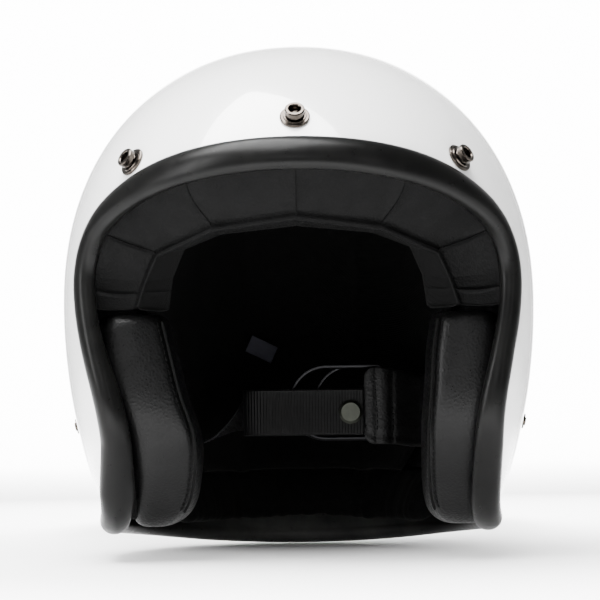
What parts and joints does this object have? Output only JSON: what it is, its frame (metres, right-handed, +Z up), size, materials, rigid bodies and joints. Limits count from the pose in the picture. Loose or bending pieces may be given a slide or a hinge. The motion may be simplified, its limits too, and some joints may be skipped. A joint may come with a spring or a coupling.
{
  "type": "open face motorcycle helmet",
  "caption": "Open face motorcycle helmet with rubber edge trim, brow snaps for a peak or visor, snap-in cheek pads and a double D-ring chin strap.",
  "frame": {"origin": "on the plane that the helmet stands on, under the middle of its bounding box", "axes": "+Z up through the crown, -Y out of the face opening, +X to the right of somebody facing it"},
  "size_m": [0.2492, 0.3047, 0.269],
  "materials": {
    "shell_paint": "high gloss white paint over moulded shell",
    "trim_rubber": "satin black rubber",
    "foam": "black expanded foam",
    "lining_fabric": "black brushed knit",
    "leatherette": "black pebbled leatherette",
    "webbing": "ribbed black nylon webbing",
    "backing_plastic": "black moulded plastic",
    "strap_steel": "zinc plated",
    "ring_steel": "nickel plated wire",
    "cap_nickel": "satin nickel",
    "snap_gunmetal": "gunmetal plating",
    "label_fabric": "woven blank label"
  },
  "bodies": {
    "helmet": {"outer_shell": "shell_paint", "edge_trim": "trim_rubber", "impact_liner": "foam", "crown_liner": "lining_fabric", "brow_pad": "leatherette", "neck_roll": "lining_fabric", "brow_snap_left": "snap_gunmetal", "brow_snap_centre": "snap_gunmetal", "brow_snap_right": "snap_gunmetal", "brow_snap_rivets": "snap_gunmetal", "cheek_foam_left": "foam", "cheek_foam_right": "foam", "cheek_snap_sockets_left": "backing_plastic", "cheek_snap_sockets_right": "backing_plastic", "strap_rivet_left": "snap_gunmetal", "strap_rivet_right": "snap_gunmetal", "rivet_spacer_left": "strap_steel", "rivet_spacer_right": "strap_steel", "blank_label": "label_fabric"},
    "cheek_left": {"cheek_pad_left": "leatherette", "cheek_plate_left": "backing_plastic", "cheek_snap_studs_left": "backing_plastic"},
    "cheek_right": {"cheek_pad_right": "leatherette", "cheek_plate_right": "backing_plastic", "cheek_snap_studs_right": "backing_plastic"},
    "chin_strap": {"long_strap": "webbing", "short_strap": "webbing", "strap_cover": "leatherette", "strap_anchor_left": "strap_steel", "strap_anchor_right": "strap_steel", "strap_snap_stud": "snap_gunmetal"},
    "ring_front": {"d_ring_front": "ring_steel"},
    "ring_rear": {"d_ring_rear": "ring_steel"},
    "tail": {"strap_tail": "webbing", "tail_snap_cap": "cap_nickel"}
  },
  "joints": [
    {"name": "cheek_pad_left_snap", "type": "slide", "parent": "helmet", "child": "cheek_left", "axis": [1, 0, 0], "range_m": [0, 0.022]},
    {"name": "cheek_pad_right_snap", "type": "slide", "parent": "helmet", "child": "cheek_right", "axis": [-1, 0, 0], "range_m": [0, 0.022]},
    {"name": "chin_strap_swing", "type": "hinge", "parent": "helmet", "child": "chin_strap", "pos_m": [0, -0.002, 0.0695], "axis": [-1, 0, 0], "range_deg": [0, 75]},
    {"name": "ring_front_play", "type": "hinge", "parent": "chin_strap", "child": "ring_front", "pos_m": [0.045, 0.024, 0.0803], "axis": [0, 0, -1], "range_deg": [-2.5, 0]},
    {"name": "ring_rear_play", "type": "hinge", "parent": "chin_strap", "child": "ring_rear", "pos_m": [0.045, 0.0276, 0.0803], "axis": [0, 0, -1], "range_deg": [0, 3.5]},
    {"name": "tail_snap_release", "type": "hinge", "parent": "chin_strap", "child": "tail", "pos_m": [-0.0223, 0.0154, 0.075], "axis": [0, 0, -1], "range_deg": [0, 70]}
  ]
}
